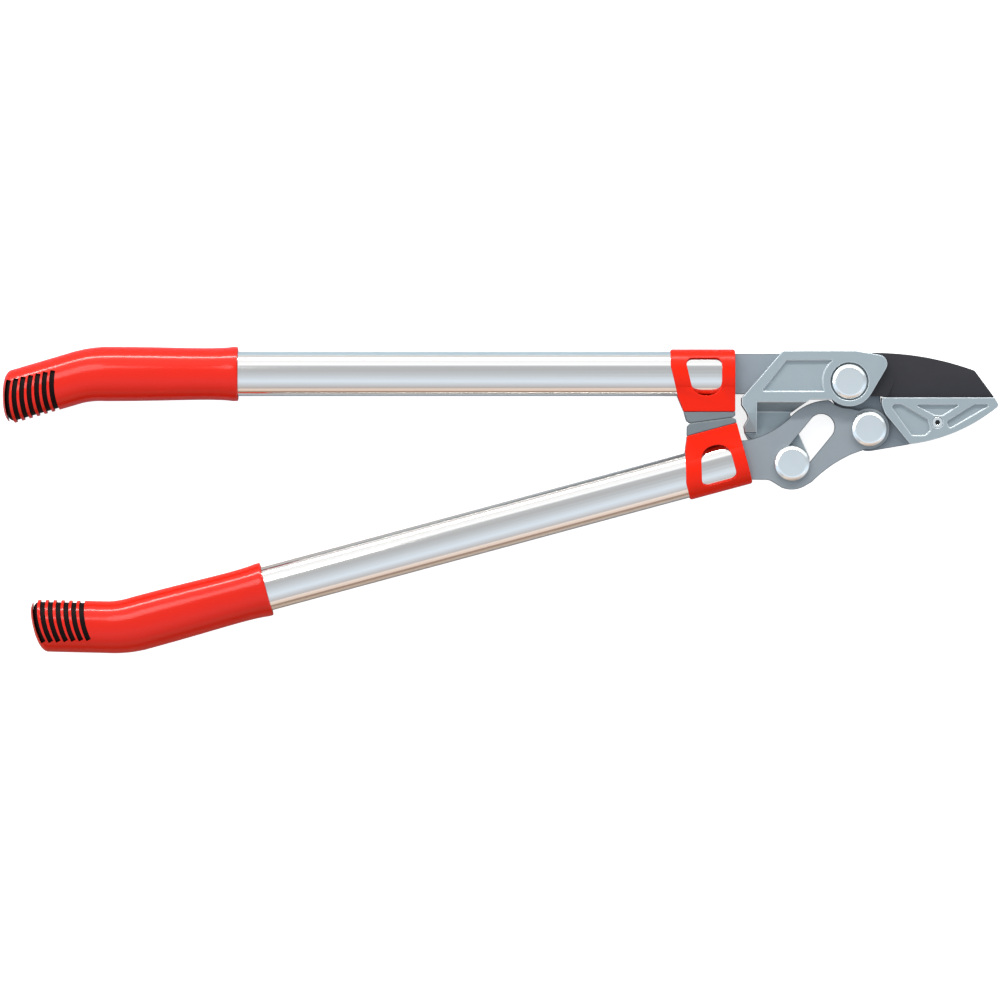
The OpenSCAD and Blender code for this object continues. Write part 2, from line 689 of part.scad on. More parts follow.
module red() color([0.90, 0.13, 0.04]) children();
module black() color([0.08, 0.06, 0.07]) children();
module alloy() color([0.84, 0.84, 0.84]) children();
module steel() color([0.58, 0.60, 0.62]) children();
module casting() color([0.65, 0.69, 0.71]) children();
module bright() color([0.80, 0.84, 0.87]) children();
module rubber() color([0.50, 0.53, 0.55]) children();
module nylon() color([0.90, 0.89, 0.85]) children();

steel() anvil_arm();
casting() anvil();
bright() anvil_screw();
bright() anvil_nut();
bright() main_pivot_bolt();
bright() lever_pivot_bolt();
bright() pivot_washers();
bright() pivot_nuts();
alloy() tube();  // upper_tube
nylon() tang_insert(arm_z, mid_z);  // upper_tang_insert
bright() tang_pins(pin_length);  // upper_tang_pins
red() collar();  // upper_collar
rubber() pad();  // upper_pad
red() grip();  // upper_grip
black() grip_core();  // upper_grip_core
steel() lever_plate();
bright() bush(lever_pivot, lever_z, lever_z + lever_t);  // lever_bush
alloy() on_lower() tube();  // lower_tube
nylon() on_lower() tang_insert(lever_z, lever_z + lever_t);  // lower_tang_insert
bright() on_lower() tang_pins(pin_length);  // lower_tang_pins
red() on_lower() collar();  // lower_collar
rubber() on_lower() pad();  // lower_pad
red() on_lower() grip();  // lower_grip
black() on_lower() grip_core();  // lower_grip_core
color([0.17, 0.17, 0.18]) blade();
casting() blade_carrier();
bright() blade_screws();
bright() bush(main_pivot, blade_z, seat_z);  // main_pivot_bush
bright() drive_pin();
bright() drive_pin_washer();
bright() drive_pin_nut();
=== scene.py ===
import json
import math

import bpy
from mathutils import Matrix, Vector

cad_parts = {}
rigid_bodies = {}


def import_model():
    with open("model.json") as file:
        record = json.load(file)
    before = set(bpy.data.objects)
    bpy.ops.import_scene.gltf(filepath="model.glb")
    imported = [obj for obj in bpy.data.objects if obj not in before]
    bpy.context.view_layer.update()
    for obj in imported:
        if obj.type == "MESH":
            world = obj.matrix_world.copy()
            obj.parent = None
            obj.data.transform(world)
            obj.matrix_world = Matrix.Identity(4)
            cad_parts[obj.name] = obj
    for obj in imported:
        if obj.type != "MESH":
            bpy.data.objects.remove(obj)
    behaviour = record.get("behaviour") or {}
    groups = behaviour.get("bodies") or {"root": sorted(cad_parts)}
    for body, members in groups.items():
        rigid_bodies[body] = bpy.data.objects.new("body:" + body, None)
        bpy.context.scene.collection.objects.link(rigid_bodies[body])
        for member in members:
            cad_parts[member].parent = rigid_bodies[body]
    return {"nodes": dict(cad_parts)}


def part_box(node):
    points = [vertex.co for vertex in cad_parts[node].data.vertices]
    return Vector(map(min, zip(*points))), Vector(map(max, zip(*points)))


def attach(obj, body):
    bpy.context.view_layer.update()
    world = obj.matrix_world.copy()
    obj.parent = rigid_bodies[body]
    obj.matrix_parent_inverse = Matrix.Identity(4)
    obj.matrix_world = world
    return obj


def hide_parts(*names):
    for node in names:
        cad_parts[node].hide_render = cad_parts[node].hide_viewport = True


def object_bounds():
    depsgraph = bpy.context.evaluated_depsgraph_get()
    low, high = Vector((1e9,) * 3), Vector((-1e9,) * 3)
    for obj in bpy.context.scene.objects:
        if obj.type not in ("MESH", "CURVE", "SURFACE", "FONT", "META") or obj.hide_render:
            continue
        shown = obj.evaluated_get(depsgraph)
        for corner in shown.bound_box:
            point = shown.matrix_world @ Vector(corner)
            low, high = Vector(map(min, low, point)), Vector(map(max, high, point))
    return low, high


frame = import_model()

cad_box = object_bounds()
nodes = frame["nodes"]
MM = 0.001

# ---- The bench ----
# The lopper lies closed on a white table, which stands in for a plain studio floor. A long soft light
# is beyond its upper handle, a smaller one at the grips' end, and a weak warm reflector before it.


def only(*pieces):
    """Select these pieces and nothing else."""
    bpy.ops.object.select_all(action="DESELECT")
    for piece in pieces:
        piece.select_set(True)
    bpy.context.view_layer.objects.active = pieces[0]


def new_finish(name, **constants):
    """A material with its Principled shader's plain sockets set; returns it, its shader and its node tree."""
    finish = bpy.data.materials.new(name)
    finish.use_nodes = True
    tree = finish.node_tree
    shader = tree.nodes["Principled BSDF"]
    for socket, value in constants.items():
        shader.inputs[socket.replace("_", " ")].default_value = value
    return finish, shader, tree


def rgb(red, green, blue):
    """Screen colour, 0 to 255, as the linear colour that a shader takes."""
    return tuple((c / 255 / 12.92) if c < 10 else ((c / 255 + 0.055) / 1.055) ** 2.4
                 for c in (red, green, blue)) + (1.0,)


TABLE_WIDTH = 9
TINT_REACH = 0.12
middle = [(a + b) / 2 for a, b in zip(*cad_box)]
bpy.ops.mesh.primitive_plane_add(size=TABLE_WIDTH, location=(middle[0], middle[1], 0))
table = bpy.context.object
table.name = "table"
bpy.ops.object.transform_apply(location=True, rotation=True, scale=True)
table_finish, shader, tree = new_finish("table white", Roughness=0.85, Specular_IOR_Level=0.2)
shader.inputs["Base Color"].default_value = (0.6, 0.6, 0.6, 1)
shader.inputs["Emission Color"].default_value = (1, 1, 1, 1)
shader.inputs["Emission Strength"].default_value = 0.80
# The table looks white, but what the tool mirrors of it is dimmer: cool beyond it and warm before it
mirrored = tree.nodes.new("ShaderNodeBsdfDiffuse")
seen = tree.nodes.new("ShaderNodeLightPath")
blend = tree.nodes.new("ShaderNodeMixShader")
place = tree.nodes.new("ShaderNodeTexCoord")
split = tree.nodes.new("ShaderNodeSeparateXYZ")
warm_to_cool = tree.nodes.new("ShaderNodeMapRange")
mirrored_tint = tree.nodes.new("ShaderNodeMix")
mirrored_tint.data_type = "RGBA"
mirrored_tint.inputs[6].default_value = (0.46, 0.36, 0.29, 1)
mirrored_tint.inputs[7].default_value = (0.38, 0.48, 0.54, 1)
warm_to_cool.inputs["From Min"].default_value = middle[1] - TINT_REACH
warm_to_cool.inputs["From Max"].default_value = middle[1] + TINT_REACH
for source, target in ((place.outputs["Object"], split.inputs[0]),
                       (split.outputs["Y"], warm_to_cool.inputs["Value"]),
                       (warm_to_cool.outputs[0], mirrored_tint.inputs["Factor"]),
                       (mirrored_tint.outputs[2], mirrored.inputs["Color"]),
                       (seen.outputs["Is Camera Ray"], blend.inputs[0]),
                       (mirrored.outputs[0], blend.inputs[1]),
                       (shader.outputs[0], blend.inputs[2]),
                       (blend.outputs[0], tree.nodes["Material Output"].inputs["Surface"])):
    tree.links.new(source, target)
table.data.materials.append(table_finish)

room = bpy.data.worlds.new("studio room")
room.use_nodes = True
bpy.context.scene.world = room
tree = room.node_tree
background = tree.nodes["Background"]
direction = tree.nodes.new("ShaderNodeTexCoord")
split = tree.nodes.new("ShaderNodeSeparateXYZ")
across = tree.nodes.new("ShaderNodeMapRange")
ramp = tree.nodes.new("ShaderNodeValToRGB")
across.inputs["From Min"].default_value = -1
tree.links.new(direction.outputs["Generated"], split.inputs[0])
tree.links.new(split.outputs["Y"], across.inputs["Value"])
tree.links.new(across.outputs[0], ramp.inputs[0])
tree.links.new(ramp.outputs[0], background.inputs["Color"])
ROOM_BANDS = [(0.0, (0.46, 0.31, 0.22)), (0.33, (0.52, 0.42, 0.35)), (0.57, (0.66, 0.69, 0.72)),
              (0.69, (0.70, 0.74, 0.78)), (0.72, (1.5, 1.56, 1.62)), (1.0, (1.05, 1.2, 1.35))]
for position, colour in ROOM_BANDS:
    if position in (0.0, 1.0):
        stop = ramp.color_ramp.elements[int(position)]
    else:
        stop = ramp.color_ramp.elements.new(position)
    stop.color = (*colour, 1)
background.inputs["Strength"].default_value = 0.9

# name, place from the middle of the tool, size along X and across, power, colour
LAMPS = [("long_softbox", (0.0, 1.15, 0.72), (1.9, 0.13), 23.0, (1.0, 0.98, 0.96)),
         ("key", (-0.55, 0.55, 1.5), (0.4, 0.4), 2.6, (1.0, 0.99, 0.97)),
         ("left_softbox", (-1.15, 0.35, 0.72), (0.8, 0.13), 4.0, (1.0, 0.99, 0.98)),
         ("warm_reflector", (0.35, -1.0, 0.62), (2.2, 0.5), 1.7, (1.0, 0.82, 0.68))]
for name, offset, size, power, colour in LAMPS:
    lamp = bpy.data.lights.new(name, "AREA")
    lamp.shape = "RECTANGLE"
    lamp.size, lamp.size_y = size
    lamp.energy = power
    lamp.color = colour
    holder = bpy.data.objects.new(name, lamp)
    bpy.context.collection.objects.link(holder)
    holder.location = Vector((middle[0], middle[1], 0)) + Vector(offset)
    holder.rotation_euler = (-Vector(offset)).to_track_quat("-Z", "Y").to_euler()

view_width = 0.6533
lens = bpy.data.cameras.new("camera")
lens.lens = 200
lens.sensor_width = 36
lens.dof.use_dof = False
camera = bpy.data.objects.new("camera", lens)
bpy.context.collection.objects.link(camera)
focus_height = 16 * MM
camera.location = (middle[0], middle[1], focus_height + view_width * lens.lens / lens.sensor_width)
bpy.context.scene.camera = camera
bpy.context.scene.view_settings.view_transform = "Standard"

# ---- Handle tubes ----
# Two oval tubes of drawn aluminium, satin anodised, sawn square at both ends. The die leaves fine
# lines along the tube. Each is pushed into its grip and held in its collar by two cross pins.


def merged_copy(node, name):
    """A copy of a CAD node as one closed skin, its flat faces whole again."""
    only(nodes[node])
    bpy.ops.object.duplicate()
    piece = bpy.context.object
    piece.name = name
    piece.data.name = name
    bpy.ops.object.parent_clear(type="CLEAR_KEEP_TRANSFORM")
    piece.data.materials.clear()
    bpy.ops.object.mode_set(mode="EDIT")
    bpy.ops.mesh.select_all(action="SELECT")
    bpy.ops.mesh.customdata_custom_splitnormals_clear()
    bpy.ops.mesh.remove_doubles(threshold=0.002 * MM)
    bpy.ops.mesh.dissolve_limited(angle_limit=math.radians(0.3))
    bpy.ops.object.mode_set(mode="OBJECT")
    bpy.ops.object.shade_smooth()
    return piece


def break_edges(piece, width, steps=3, sharper_than=32, finishes=()):
    """Round every edge that is sharper than the given angle. A second finish goes on the rounded edges."""
    only(piece)
    for finish in finishes:
        piece.data.materials.append(finish)
    rounding = piece.modifiers.new("broken edges", "BEVEL")
    rounding.width = width
    rounding.segments = steps
    rounding.limit_method = "ANGLE"
    rounding.angle_limit = math.radians(sharper_than)
    rounding.use_clamp_overlap = False
    rounding.harden_normals = True
    rounding.material = len(finishes) - 1
    bpy.ops.object.modifier_apply(modifier=rounding.name)


def fit(piece, finish, body, slot, *stands_for):
    """Give a piece its finish, tie it to its body and hide the nodes it stands for; the slot is not used."""
    if not piece.data.materials:
        piece.data.materials.append(finish)
    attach(piece, body)
    if stands_for:
        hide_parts(*stands_for)


def add_socket(group, name, kind, out=False):
    group.interface.new_socket(name, in_out="OUTPUT" if out else "INPUT", socket_type="NodeSocket" + kind)


def chain(tree, *steps):
    """Link socket pairs, given as source and target one after the other."""
    for source, target in zip(steps[::2], steps[1::2]):
        tree.links.new(source, target)


# Fine grain: tiny bumps, with slow patches that shift the colour and the gloss a little
grain = bpy.data.node_groups.new("fine grain", "ShaderNodeTree")
for name, kind in (("Place", "Vector"), ("Grain Scale", "Float"), ("Patch Scale", "Float"),
                   ("Light", "Color"), ("Dark", "Color"), ("Gloss Low", "Float"), ("Gloss High", "Float")):
    add_socket(grain, name, kind)
for name, kind in (("Color", "Color"), ("Roughness", "Float"), ("Height", "Float")):
    add_socket(grain, name, kind, out=True)
given = grain.nodes.new("NodeGroupInput")
result = grain.nodes.new("NodeGroupOutput")
fine = grain.nodes.new("ShaderNodeTexNoise")
patch = grain.nodes.new("ShaderNodeTexNoise")
share = grain.nodes.new("ShaderNodeMix")
tint = grain.nodes.new("ShaderNodeMix")
gloss = grain.nodes.new("ShaderNodeMapRange")
fine.inputs["Detail"].default_value = 5
patch.inputs["Detail"].default_value = 4
share.inputs["Factor"].default_value = 0.45
tint.data_type = "RGBA"
chain(grain, given.outputs["Place"], fine.inputs["Vector"], given.outputs["Place"], patch.inputs["Vector"],
      given.outputs["Grain Scale"], fine.inputs["Scale"], given.outputs["Patch Scale"], patch.inputs["Scale"],
      patch.outputs[0], share.inputs[2], fine.outputs[0], share.inputs[3],
      share.outputs[0], tint.inputs["Factor"],
      given.outputs["Light"], tint.inputs[6], given.outputs["Dark"], tint.inputs[7],
      share.outputs[0], gloss.inputs["Value"],
      given.outputs["Gloss Low"], gloss.inputs["To Min"], given.outputs["Gloss High"], gloss.inputs["To Max"],
      tint.outputs[2], result.inputs["Color"], gloss.outputs[0], result.inputs["Roughness"],
      fine.outputs[0], result.inputs["Height"])


def grained(name, light, dark, gloss, grain_scale, patch_scale, depth, stretch=(1, 1, 1), turn=0.0,
            **constants):
    """A finish with fine grain; depth is the height of the grain in metres."""
    finish, shader, tree = new_finish(name, **constants)
    place = tree.nodes.new("ShaderNodeTexCoord")
    mapping = tree.nodes.new("ShaderNodeMapping")
    mapping.inputs["Scale"].default_value = stretch
    mapping.inputs["Rotation"].default_value = (0, 0, turn)
    mapping.vector_type = "TEXTURE" if turn else "POINT"
    texture = tree.nodes.new("ShaderNodeGroup")
    texture.node_tree = grain
    texture.inputs["Grain Scale"].default_value = grain_scale
    texture.inputs["Patch Scale"].default_value = patch_scale
    texture.inputs["Light"].default_value = light
    texture.inputs["Dark"].default_value = dark
    texture.inputs["Gloss Low"].default_value, texture.inputs["Gloss High"].default_value = gloss
    bump = tree.nodes.new("ShaderNodeBump")
    bump.inputs["Distance"].default_value = depth
    chain(tree, place.outputs["Object"], mapping.inputs["Vector"],
          mapping.outputs[0], texture.inputs["Place"],
          texture.outputs["Color"], shader.inputs["Base Color"],
          texture.outputs["Roughness"], shader.inputs["Roughness"],
          texture.outputs["Height"], bump.inputs["Height"], bump.outputs[0], shader.inputs["Normal"])
    return finish


HANDLE_ANGLE = math.radians(15.1)
DIE_LINES = 0.012
for side, name, along, turn in (("upper", "satin anodised tube", DIE_LINES, 0.0),
                                ("lower", "satin anodised lower tube", 1 / DIE_LINES, HANDLE_ANGLE)):
    finish = grained(name, (0.80, 0.77, 0.74, 1), (0.72, 0.70, 0.68, 1),
                     (0.10, 0.12), 4500, 500, 0.0003 * MM, stretch=(along, 1, 1), turn=turn, Metallic=1.0)
    tube = merged_copy(side + "_tube", side + "_handle_tube")
    break_edges(tube, 0.3 * MM, 2)
    fit(tube, finish, side + "_handle", "tube_alloy", side + "_tube")

# ---- Plates ----
# The anvil arm and the slotted lever are punched and hardened steel plates. Their edges are
# slightly rounded and painted dark as painted shade along them, and their tangs run back into the tubes.
arm_finish = grained("arm steel", rgb(139, 148, 156), rgb(122, 131, 138), (0.42, 0.58), 2600, 70, 0.012 * MM,
                     Metallic=0.35)
lever_finish = grained("lever steel", rgb(138, 145, 150), rgb(121, 128, 133), (0.40, 0.55), 2600, 60,
                       0.012 * MM, Metallic=0.35)
# Painted shade: a dark finish on the plates' rounded edges stands in for the shadow line along them
plate_edge_painted_shade = grained("plate edge painted shade", rgb(82, 88, 94), rgb(60, 65, 70), (0.55, 0.7), 1500, 240,
                       0.006 * MM, Specular_IOR_Level=0.2)
arm = merged_copy("anvil_arm", "arm_plate")
break_edges(arm, 0.35 * MM, finishes=(arm_finish, plate_edge_painted_shade))
fit(arm, arm_finish, "upper_handle", "plate_steel", "anvil_arm")
lever = merged_copy("lever_plate", "slotted_lever")
break_edges(lever, 0.35 * MM, finishes=(lever_finish, plate_edge_painted_shade))
fit(lever, lever_finish, "lower_handle", "plate_steel", "lever_plate")

# ---- Tang inserts and cross pins ----
# Inside each tube a nylon insert fills the space beside the tang, and two plated steel pins cross
# the tube, insert and tang. The pins are cut just short of the tube's surface.
nylon_finish = grained("natural nylon", rgb(232, 230, 222), rgb(215, 212, 203), (0.35, 0.5), 900, 60,
                       0.01 * MM)
plated_finish = grained("bright plated steel", rgb(242, 246, 246), rgb(224, 230, 232), (0.16, 0.27),
                        3000, 120, 0.004 * MM, Metallic=1.0)


def refinish(finish, *names):
    """Give CAD nodes that stay as they are a real finish."""
    for name in names:
        nodes[name].data.materials.clear()
        nodes[name].data.materials.append(finish)


refinish(nylon_finish, "upper_tang_insert", "lower_tang_insert")
refinish(plated_finish, "upper_tang_pins", "lower_tang_pins")

# ---- Anvil ----
# A die-cast alloy block with three recesses between ribs, laid on the arm with a lip over the arm's
# edge and held by one hexagon socket screw and a nut behind. The cast skin is slightly sandy.
cast_finish = grained("cast alloy", rgb(151, 162, 167), rgb(136, 147, 152), (0.38, 0.54), 2200, 90, 0.02 * MM,
                      Metallic=0.45)
# Painted highlight: a lighter finish on the castings' rounded edges stands in for the glints along them
cast_edge_painted_highlight = grained("cast edge painted highlight", rgb(204, 211, 214), rgb(168, 178, 182), (0.30, 0.44), 1500, 240,
                      0.006 * MM, Metallic=0.6)
anvil = merged_copy("anvil", "anvil_block")
break_edges(anvil, 0.40 * MM, finishes=(cast_finish, cast_edge_painted_highlight))
fit(anvil, cast_finish, "upper_handle", "cast_alloy", "anvil")
screw = merged_copy("anvil_screw", "anvil_socket_screw")
break_edges(screw, 0.25 * MM)
fit(screw, plated_finish, "upper_handle", "plated_steel", "anvil_screw")
# Painted shade: the hexagon socket's walls and floor get a near-black finish for the shade in the recess
socket_painted_shade = grained("socket painted shade", rgb(40, 41, 43), rgb(24, 25, 27), (0.3, 0.45), 2000, 300,
                        0.004 * MM)
screw.data.materials.append(socket_painted_shade)
low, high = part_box("anvil_screw")
screw_axis = Vector(((low[0] + high[0]) / 2, (low[1] + high[1]) / 2))
SOCKET_R = 1.8 * MM
SOCKET_DEPTH = 3 * MM
SOCKET_RIM = 0.2 * MM
for face in screw.data.polygons:
    in_socket = (face.center.xy - screw_axis).length < SOCKET_R
    if in_socket and high[2] - SOCKET_DEPTH < face.center.z < high[2] - SOCKET_RIM:
        face.material_index = 1
nut = merged_copy("anvil_nut", "anvil_hexagon_nut")
break_edges(nut, 0.25 * MM)
fit(nut, plated_finish, "upper_handle", "plated_steel", "anvil_nut")

# ---- Blade ----
# A hardened steel blade with a dark non-stick coating, ground on both faces down to its straight
# cutting edge. The coating is matt, with a fine speckle.
blade_finish = grained("dark coating", rgb(44, 43, 47), rgb(35, 34, 38), (0.38, 0.52), 3000, 120, 0.012 * MM,
                       Specular_IOR_Level=0.3)
ground_edge = grained("bare ground edge", rgb(84, 85, 90), rgb(60, 61, 65), (0.3, 0.45), 2500, 300,
                      0.006 * MM, Metallic=0.8)
blade = merged_copy("blade", "coated_blade")
break_edges(blade, 0.12 * MM, 2, 40, finishes=(blade_finish, ground_edge))
fit(blade, blade_finish, "blade_set", "blade_coating", "blade")

# ---- Blade carrier ----
# A die-cast alloy arm that grips the blade's tang and carries the drive pin. Its cheek has a pocket,
# its foot steps down behind the lever plate, and two countersunk screws hold the blade to it.
carrier = merged_copy("blade_carrier", "carrier_casting")
break_edges(carrier, 0.45 * MM, finishes=(cast_finish, cast_edge_painted_highlight))
fit(carrier, cast_finish, "blade_set", "cast_alloy", "blade_carrier")
refinish(plated_finish, "blade_screws")

# ---- Pivot pins, bushes, washers and nuts ----
# Two pivot bolts and the drive pin have broad turned heads, plated bright. A lock nut and a plain
# washer hold each one behind the arm. The bushes sit hidden in the bores.
MAIN_PIVOT = (0.0, 0.0)
LEVER_PIVOT = (13.2 * MM, -30.8 * MM)
DRIVE_PIN = (-37.2 * MM, -53.3 * MM)
SIDES = 96


def draw_out(steps):
    """Extrude what is selected through (centre, growth on X Y Z, turn about Z) one after the other."""
    for before, (centre, growth, turn) in zip(steps, steps[1:]):
        bpy.ops.mesh.extrude_region_move(TRANSFORM_OT_translate={"value": centre - before[0]})
        bpy.ops.transform.resize(value=growth, center_override=centre)
        if turn:
            bpy.ops.transform.rotate(value=-turn, orient_axis="Z", center_override=centre)


def close_up(piece, name):
    """Leave edit mode with the skin closed and facing outwards, the origin at zero and the piece named."""
    bpy.ops.mesh.select_all(action="SELECT")
    bpy.ops.mesh.normals_make_consistent(inside=False)
    bpy.ops.object.mode_set(mode="OBJECT")
    only(piece)
    bpy.ops.object.transform_apply(location=True, rotation=True, scale=True)
    piece.name = name
    piece.data.name = name


def turned(name, centre, profile):
    """A turned part from its (radius, height) profile, from its foot to its head."""
    bpy.ops.object.select_all(action="DESELECT")
    foot = Vector((*centre, profile[0][1]))
    bpy.ops.mesh.primitive_circle_add(vertices=SIDES, radius=profile[0][0], location=foot, fill_type="NGON")
    piece = bpy.context.object
    bpy.ops.object.mode_set(mode="EDIT")
    steps = [(foot, None, 0)]
    for (wide, _), (next_wide, height) in zip(profile, profile[1:]):
        grow = next_wide / wide
        steps.append((Vector((*centre, height)), (grow, grow, 1), 0))
    draw_out(steps)
    close_up(piece, name)
    bpy.ops.object.shade_smooth_by_angle(angle=math.radians(28))
    return piece


# The head's outline above its seat: a straight rim, a broad bevel that is softened where it starts and ends
HEAD = [(11.25, 0.0), (11.5, 0.25), (11.5, 2.45), (11.44, 2.75), (11.25, 3.02), (10.95, 3.27), (9.75, 4.12),
        (9.45, 4.32), (9.1, 4.44), (8.7, 4.49), (8.3, 4.5)]
HEAD_RISE = 4.5 * MM


def headed_pin(name, centre, shank, seat):
    """A pin: its shank steps as (radius, height) from the foot up, then its head from its seat."""
    outline = shank + [(shank[-1][0], seat)]
    outline += [(radius * MM, seat + height * MM) for radius, height in HEAD]
    return turned(name, centre, outline)


for node, name, centre, radius in (("main_pivot_bolt", "main_pivot_pin", MAIN_PIVOT, 6 * MM),
                                   ("lever_pivot_bolt", "lever_pivot_pin", LEVER_PIVOT, 6 * MM)):
    low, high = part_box(node)
    chamfer = 0.8 * MM
    shank = [(1.6 * MM, low[2] + 0.5 * MM), (1.9 * MM, low[2]), (radius - chamfer, low[2]),
             (radius, low[2] + chamfer)]
    pin = headed_pin(name, centre, shank, high[2] - HEAD_RISE)
    fit(pin, plated_finish, "upper_handle", "plated_steel", node)

low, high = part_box("drive_pin")
seat = high[2] - HEAD_RISE
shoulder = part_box("lever_plate")[0][2] - 0.3 * MM
shank = [(1.2 * MM, low[2] + 0.4 * MM), (1.4 * MM, low[2]), (3.4 * MM, low[2]), (4 * MM, low[2] + 0.6 * MM),
         (4 * MM, shoulder), (5.55 * MM, shoulder), (5.75 * MM, shoulder + 0.2 * MM)]
drive = headed_pin("drive_stud", DRIVE_PIN, shank, seat)
fit(drive, plated_finish, "blade_set", "plated_steel", "drive_pin")

for node, name, body in (("pivot_washers", "pivot_plain_washers", "upper_handle"),
                         ("pivot_nuts", "pivot_lock_nuts", "upper_handle"),
                         ("drive_pin_washer", "drive_plain_washer", "blade_set"),
                         ("drive_pin_nut", "drive_lock_nut", "blade_set")):
    piece = merged_copy(node, name)
    break_edges(piece, 0.3 * MM)
    fit(piece, plated_finish, body, "plated_steel", node)
refinish(plated_finish, "lever_bush", "main_pivot_bush")

# ---- Collars ----
# Red glossy plastic sleeves moulded round the front of each tube, with a window on both faces and a
# nose that carries the stop pad. The moulding's edges are rounded.
collar_finish = grained("red moulded plastic", (0.66, 0.013, 0.001, 1), (0.58, 0.010, 0.001, 1),
                        (0.22, 0.30), 1500, 45, 0.012 * MM, Specular_IOR_Level=0.15)
for side in ("upper", "lower"):
    collar = merged_copy(side + "_collar", side + "_window_collar")
    break_edges(collar, 0.55 * MM)
    fit(collar, collar_finish, side + "_handle", "red_plastic", side + "_collar")

# ---- Stop pads ----
# Grey rubber blocks bonded to the collars' noses. They meet face to face when the handles are
# closed, and they are matt with a fine moulded grain.
pad_finish = grained("grey rubber", rgb(104, 113, 117), rgb(91, 99, 103), (0.55, 0.75), 2000, 80, 0.03 * MM,
                     Specular_IOR_Level=0.35)
for side in ("upper", "lower"):
    pad = merged_copy(side + "_pad", side + "_stop_pad")
    break_edges(pad, 0.8 * MM)
    fit(pad, pad_finish, side + "_handle", "pad_rubber", side + "_pad")

# ---- Grips ----
# Each grip is a red plastic shell over a black core, pushed onto the tube. It is oval, with a flared
# front lip, a slim waist, a bent end and a domed butt, and vent slots let the core show at the bend.
AXIS_Y = 5.1 * MM
MID_Z = 13.5 * MM
GRIP_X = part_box("upper_grip")[1][0]
STRAIGHT = 87 * MM
BEND = math.radians(16.4)
BEND_R = 70 * MM
TAIL = 41.5 * MM
BUTT = 7.5 * MM
LEAN = math.radians(14)
GRIP_H, GRIP_T = 35.6 * MM, 27 * MM
WAIST = 1.7 * MM
WALL = 1.4 * MM
COVER = 85 * MM
BEND_LENGTH = BEND_R * BEND
DOME_START = STRAIGHT + BEND_LENGTH + TAIL
GRIP_END = DOME_START + BUTT
RING = 96


def grip_axis(s):
    """Place and heading of the grip's axis at distance s behind its front lip."""
    if s <= STRAIGHT:
        return Vector((GRIP_X - s, AXIS_Y, MID_Z)), 0.0
    angle = min((s - STRAIGHT) / BEND_R, BEND)
    rest = max(s - STRAIGHT - BEND_LENGTH, 0)
    return Vector((GRIP_X - STRAIGHT - BEND_R * math.sin(angle) - rest * math.cos(angle),
                   AXIS_Y - BEND_R * (1 - math.cos(angle)) - rest * math.sin(angle), MID_Z)), angle


def grip_size(s, inset, end):
    """Width and thickness of the grip at distance s, and the angle of its cross-section."""
    if s < 3 * MM:
        slim = 0
    elif s < STRAIGHT:
        slim = WAIST * math.sin(math.pi * ((s - 3 * MM) / (STRAIGHT - 3 * MM)) ** 0.45) ** 2
    else:
        slim = WAIST * min((s - STRAIGHT) / BEND_LENGTH, 1)
    over = max(s - DOME_START, 0) / (end - DOME_START)
    full = max(1 - over ** 2.4, 0.002) ** (1 / 2.4)
    lean = LEAN * max(s - STRAIGHT - BEND_LENGTH, 0) / (TAIL + BUTT)
    wide = ((GRIP_H - slim) * full - 2 * inset) / math.cos(lean)
    thick = (GRIP_T - slim / 2) * full - 2 * inset
    return max(wide, 0.3 * MM), max(thick, 0.3 * MM), grip_axis(s)[1] - lean


def oval_skin(name, rings):
    """A closed skin through (distance, width, thickness, angle) rings along the grip's axis."""
    bpy.ops.object.select_all(action="DESELECT")
    bpy.ops.mesh.primitive_circle_add(vertices=RING, radius=1.0, fill_type="NGON")
    piece = bpy.context.object
    start, wide, thick, _ = rings[0]
    at = grip_axis(start)[0]
    for point in piece.data.vertices:
        x, y = point.co.x, point.co.y
        across = math.copysign(abs(y) ** 0.92, y) * wide / 2
        up = math.copysign(abs(x) ** 0.86, x) * thick / 2
        point.co = at + Vector((0, across, up))
    bpy.ops.object.mode_set(mode="EDIT")
    bpy.ops.mesh.select_all(action="SELECT")
    steps = [(at, None, 0)]
    for (_, wide, thick, angle), (s, next_wide, next_thick, next_angle) in zip(rings, rings[1:]):
        growth = (next_wide / wide, next_wide / wide, next_thick / thick)
        steps.append((grip_axis(s)[0], growth, next_angle - angle))
    draw_out(steps)
    close_up(piece, name)
    bpy.ops.object.shade_smooth_by_angle(angle=math.radians(40))
    return piece


def spread(start, end, count):
    return [start + (end - start) * i / count for i in range(1, count + 1)]


def skin_rings(distances, inset, end):
    return [(s, *grip_size(s, inset, end)) for s in distances]


# The bore, the hollow lip and then the outer skin, all in one pull: distance, width and thickness in mm
BORE_AND_LIP = [(COVER / MM, 29, 19), (2.4, 29, 19), (1.5, 29.6, 19.6), (0.8, 31.2, 21.4),
                (0.35, 33.0, 23.6), (0.05, 34.0, 25.0), (0.0, 34.5, 25.6), (0.1, 35.0, 26.3),
                (0.5, 35.5, 26.85), (1.2, 35.6, 27.0)]
butt_steps = [DOME_START + BUTT * math.sin(math.radians(7.5 * i)) for i in range(1, 12)]
outer = ([3 * MM] + spread(3 * MM, STRAIGHT, 28) + spread(STRAIGHT, STRAIGHT + BEND_LENGTH, 12)
         + spread(STRAIGHT + BEND_LENGTH, DOME_START, 10) + butt_steps)
rings = [(s * MM, wide * MM, thick * MM, 0.0) for s, wide, thick in BORE_AND_LIP]
rings += skin_rings(outer, 0, GRIP_END)
shell = oval_skin("upper_grip_shell", rings)
core_end = GRIP_END - WALL
core_butt = [DOME_START + (core_end - DOME_START) * math.sin(math.radians(9 * i)) for i in range(1, 10)]
core_distances = ([COVER, STRAIGHT] + spread(STRAIGHT, STRAIGHT + BEND_LENGTH, 12)
                  + spread(STRAIGHT + BEND_LENGTH, DOME_START, 8) + core_butt)
core = oval_skin("upper_grip_black_core", skin_rings(core_distances, WALL, core_end))

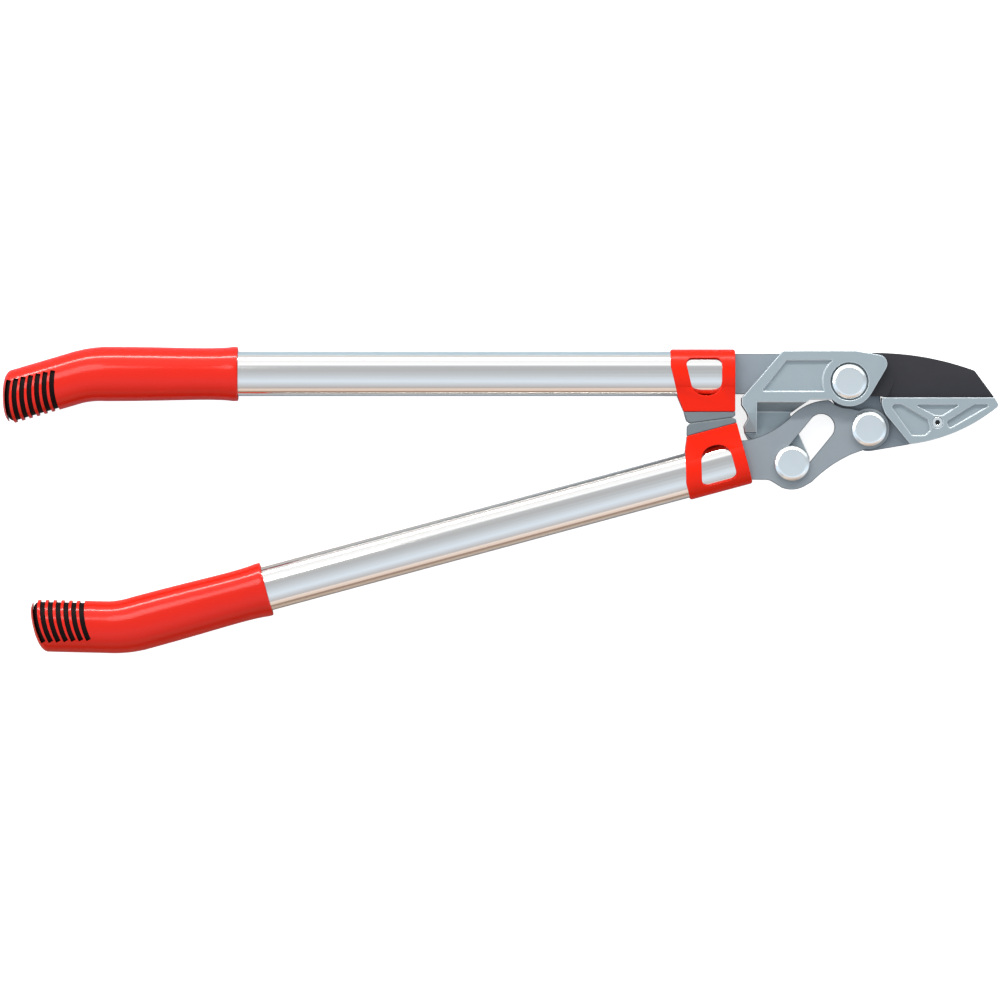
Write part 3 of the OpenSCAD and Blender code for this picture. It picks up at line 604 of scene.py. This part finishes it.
VENTS = 7
VENT_PITCH = 5.1 * MM
VENT_W = 3.3 * MM
VENT_R = 50 * MM
VENT_LOW = -14 * MM
VENT_REACH = 10.6 * MM
FIRST_VENT = 3.6 * MM
VENT_TAPER = 2.5 * MM
VENT_OVERSHOOT = 4 * MM
cutters = []
for i in range(VENTS):
    at, heading = grip_axis(GRIP_END - FIRST_VENT - i * VENT_PITCH)
    pivot = Vector((math.sqrt(VENT_R ** 2 - VENT_LOW ** 2), VENT_LOW, 0))
    top = math.pi - math.asin((VENT_REACH - VENT_TAPER * i / VENTS - VENT_LOW) / VENT_R)
    low = math.pi + math.asin((GRIP_H / 2 + VENT_OVERSHOOT + VENT_LOW) / VENT_R)
    turn = Matrix.Rotation(heading, 3, "Z")
    centre = at + turn @ pivot
    start = centre + turn @ Vector((VENT_R * math.cos(top), VENT_R * math.sin(top), 0))
    bpy.ops.object.select_all(action="DESELECT")
    bpy.ops.mesh.primitive_plane_add(size=1, location=start, rotation=(math.pi / 2, 0, heading + top))
    cutter = bpy.context.object
    cutter.scale = (VENT_W, 2 * GRIP_T, 1)
    bpy.ops.object.transform_apply(location=True, rotation=True, scale=True)
    bpy.ops.object.mode_set(mode="EDIT")
    bpy.ops.mesh.select_all(action="SELECT")
    bpy.ops.mesh.spin(steps=14, angle=top - low, center=centre, axis=(0, 0, 1))
    close_up(cutter, "vent_cutter")
    cutters.append(cutter)


def cut_away(piece, tool):
    only(piece)
    cut = piece.modifiers.new("cut", "BOOLEAN")
    cut.operation = "DIFFERENCE"
    cut.solver = "EXACT"
    cut.object = tool
    bpy.ops.object.modifier_apply(modifier=cut.name)


only(*cutters)
bpy.ops.object.join()
cutters = bpy.context.object
cut_away(shell, core)
cut_away(shell, cutters)
only(cutters)
bpy.ops.object.delete()
only(shell)
bpy.ops.object.shade_smooth_by_angle(angle=math.radians(40))

grip_finish = grained("red grip plastic", (0.58, 0.010, 0.001, 1), (0.51, 0.008, 0.001, 1), (0.27, 0.38),
                      1300, 40, 0.02 * MM, Specular_IOR_Level=0.08, Coat_Weight=0.45, Coat_Roughness=0.13)
core_finish = grained("black core plastic", (0.006, 0.002, 0.002, 1), (0.003, 0.001, 0.001, 1), (0.5, 0.65),
                      1300, 80, 0.02 * MM, Specular_IOR_Level=0.1)
AXES_CROSS_X = 140.2 * MM
crossing = Vector((AXES_CROSS_X, AXIS_Y, 0))
to_lower = (Matrix.Translation(crossing) @ Matrix.Rotation(HANDLE_ANGLE, 4, "Z")
            @ Matrix.Diagonal((1, -1, 1, 1)) @ Matrix.Translation(-crossing))
for piece, name, finish, slot in ((shell, "grip_shell", grip_finish, "red_plastic"),
                                  (core, "grip_black_core", core_finish, "black_plastic")):
    only(piece)
    bpy.ops.object.duplicate()
    twin = bpy.context.object
    twin.matrix_world = to_lower
    bpy.ops.object.transform_apply(location=True, rotation=True, scale=True)
    bpy.ops.object.mode_set(mode="EDIT")
    close_up(twin, "lower_" + name)
    node = "grip" if piece is shell else "grip_core"
    fit(piece, finish, "upper_handle", slot, "upper_" + node)
    fit(twin, finish, "lower_handle", slot, "lower_" + node)
